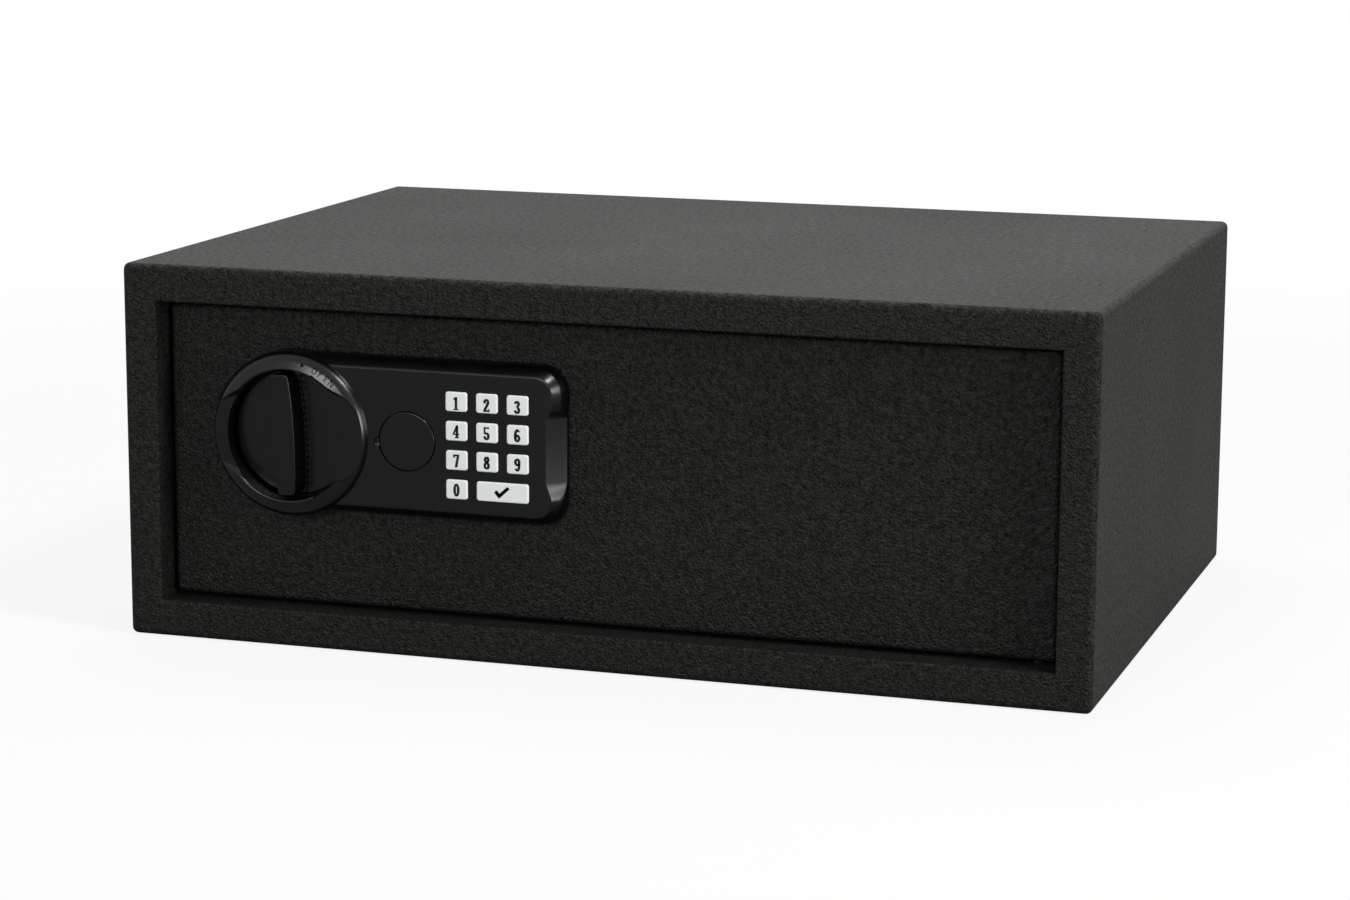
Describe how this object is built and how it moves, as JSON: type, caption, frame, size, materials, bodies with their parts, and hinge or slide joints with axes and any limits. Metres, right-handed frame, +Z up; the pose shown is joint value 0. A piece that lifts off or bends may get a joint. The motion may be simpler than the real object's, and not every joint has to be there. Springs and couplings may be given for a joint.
{
  "type": "keypad safe",
  "caption": "Low steel safe with a recessed right-hinged door, turning knob that throws two round bolts, keypad with enter key, capped emergency key lock and battery box in the door.",
  "frame": {"origin": "middle of the case's underside, halfway between the front frame and the back panel", "axes": "+X to the right seen from the front, +Y from the front to the back, +Z up"},
  "size_m": [0.43, 0.3135, 0.165],
  "materials": {
    "powder_coat": "fine-textured black powder coat",
    "felt": "dark grey needled felt",
    "black_plastic": "satin black moulding",
    "key_plastic": "pale grey moulding with black numerals",
    "zinc_steel": "zinc plated",
    "bright_steel": "ground and polished",
    "brass": "turned",
    "rubber": "moulded silicone",
    "circuit_board": "green solder mask",
    "copper_winding": "lacquered wire",
    "cell_sleeve": null,
    "reset_plastic": "red moulding"
  },
  "bodies": {
    "case": {"body_shell": "powder_coat", "front_frame": "powder_coat", "back_panel": "powder_coat", "floor_mat": "felt", "upper_door_stop": "powder_coat", "lower_door_stop": "powder_coat", "upper_hinge_pin": "zinc_steel", "lower_hinge_pin": "zinc_steel"},
    "door": {"door_panel": "powder_coat", "upper_hinge_block": "zinc_steel", "lower_hinge_block": "zinc_steel", "door_back_cover": "powder_coat", "cover_screw_1": "zinc_steel", "cover_screw_2": "zinc_steel", "cover_screw_3": "zinc_steel", "cover_screw_4": "zinc_steel", "keypad_housing": "black_plastic", "key_mat": "rubber", "keypad_board": "circuit_board", "lock_barrel": "zinc_steel", "lock_nut": "zinc_steel", "guide_screw_1": "zinc_steel", "guide_screw_2": "zinc_steel", "guide_screw_3": "zinc_steel", "guide_screw_4": "zinc_steel", "solenoid_bracket": "zinc_steel", "solenoid_coil": "copper_winding", "plunger_spring": "bright_steel", "battery_box": "black_plastic", "battery_1": "cell_sleeve", "battery_2": "cell_sleeve", "battery_3": "cell_sleeve", "battery_4": "cell_sleeve", "left_battery_contact": "bright_steel", "right_battery_contact": "bright_steel", "control_board": "circuit_board"},
    "knob": {"knob_dial": "black_plastic", "knob_spindle": "zinc_steel", "crank_disc": "zinc_steel", "crank_screw": "zinc_steel"},
    "bolt_work": {"bolt_carriage": "zinc_steel", "lower_bolt": "bright_steel", "upper_bolt": "bright_steel"},
    "plunger": {"solenoid_plunger": "bright_steel"},
    "key_plug": {"lock_plug": "brass", "lock_cam": "zinc_steel"},
    "cap": {"lock_cap": "black_plastic"},
    "battery_lid": {"battery_cover": "black_plastic"},
    "reset": {"reset_button": "reset_plastic"},
    "key_1": {"key_1": "key_plastic"},
    "key_2": {"key_2": "key_plastic"},
    "key_3": {"key_3": "key_plastic"},
    "key_4": {"key_4": "key_plastic"},
    "key_5": {"key_5": "key_plastic"},
    "key_6": {"key_6": "key_plastic"},
    "key_7": {"key_7": "key_plastic"},
    "key_8": {"key_8": "key_plastic"},
    "key_9": {"key_9": "key_plastic"},
    "key_0": {"key_0": "key_plastic"},
    "key_enter": {"key_enter": "key_plastic"}
  },
  "joints": [
    {"name": "door_hinge", "type": "hinge", "parent": "case", "child": "door", "pos_m": [0.189, -0.137, 0.0825], "axis": [0, 0, 1], "range_deg": [0, 95]},
    {"name": "knob_turn", "type": "hinge", "parent": "door", "child": "knob", "pos_m": [-0.137, -0.155, 0.0942], "axis": [0, 1, 0], "range_deg": [-90, 0]},
    {"name": "bolt_slide", "type": "slide", "parent": "door", "child": "bolt_work", "axis": [-1, 0, 0], "range_m": [0, 0.01415]},
    {"name": "plunger_slide", "type": "slide", "parent": "door", "child": "plunger", "axis": [0, 0, 1], "range_m": [0, 0.005], "deforming": ["plunger_spring"]},
    {"name": "key_plug_turn", "type": "hinge", "parent": "door", "child": "key_plug", "pos_m": [-0.0831, -0.155, 0.0942], "axis": [0, 1, 0], "range_deg": [0, 90]},
    {"name": "cap_pull", "type": "slide", "parent": "door", "child": "cap", "axis": [0, -1, 0], "range_m": [0, 0.03]},
    {"name": "battery_cover_pull", "type": "slide", "parent": "door", "child": "battery_lid", "axis": [0, 1, 0], "range_m": [0, 0.03]},
    {"name": "reset_press", "type": "slide", "parent": "door", "child": "reset", "axis": [0, -1, 0], "range_m": [0, 0.001], "stiffness_N_per_m": 400},
    {"name": "key_1_press", "type": "slide", "parent": "door", "child": "key_1", "axis": [0, 1, 0], "range_m": [0, 0.0008], "stiffness_N_per_m": 400},
    {"name": "key_2_press", "type": "slide", "parent": "door", "child": "key_2", "axis": [0, 1, 0], "range_m": [0, 0.0008], "stiffness_N_per_m": 400},
    {"name": "key_3_press", "type": "slide", "parent": "door", "child": "key_3", "axis": [0, 1, 0], "range_m": [0, 0.0008], "stiffness_N_per_m": 400},
    {"name": "key_4_press", "type": "slide", "parent": "door", "child": "key_4", "axis": [0, 1, 0], "range_m": [0, 0.0008], "stiffness_N_per_m": 400},
    {"name": "key_5_press", "type": "slide", "parent": "door", "child": "key_5", "axis": [0, 1, 0], "range_m": [0, 0.0008], "stiffness_N_per_m": 400},
    {"name": "key_6_press", "type": "slide", "parent": "door", "child": "key_6", "axis": [0, 1, 0], "range_m": [0, 0.0008], "stiffness_N_per_m": 400},
    {"name": "key_7_press", "type": "slide", "parent": "door", "child": "key_7", "axis": [0, 1, 0], "range_m": [0, 0.0008], "stiffness_N_per_m": 400},
    {"name": "key_8_press", "type": "slide", "parent": "door", "child": "key_8", "axis": [0, 1, 0], "range_m": [0, 0.0008], "stiffness_N_per_m": 400},
    {"name": "key_9_press", "type": "slide", "parent": "door", "child": "key_9", "axis": [0, 1, 0], "range_m": [0, 0.0008], "stiffness_N_per_m": 400},
    {"name": "key_0_press", "type": "slide", "parent": "door", "child": "key_0", "axis": [0, 1, 0], "range_m": [0, 0.0008], "stiffness_N_per_m": 400},
    {"name": "key_enter_press", "type": "slide", "parent": "door", "child": "key_enter", "axis": [0, 1, 0], "range_m": [0, 0.0008], "stiffness_N_per_m": 400}
  ],
  "couplings": [
    {"joint": "knob_turn", "follows": "bolt_slide", "rad_per_m": -111}
  ]
}
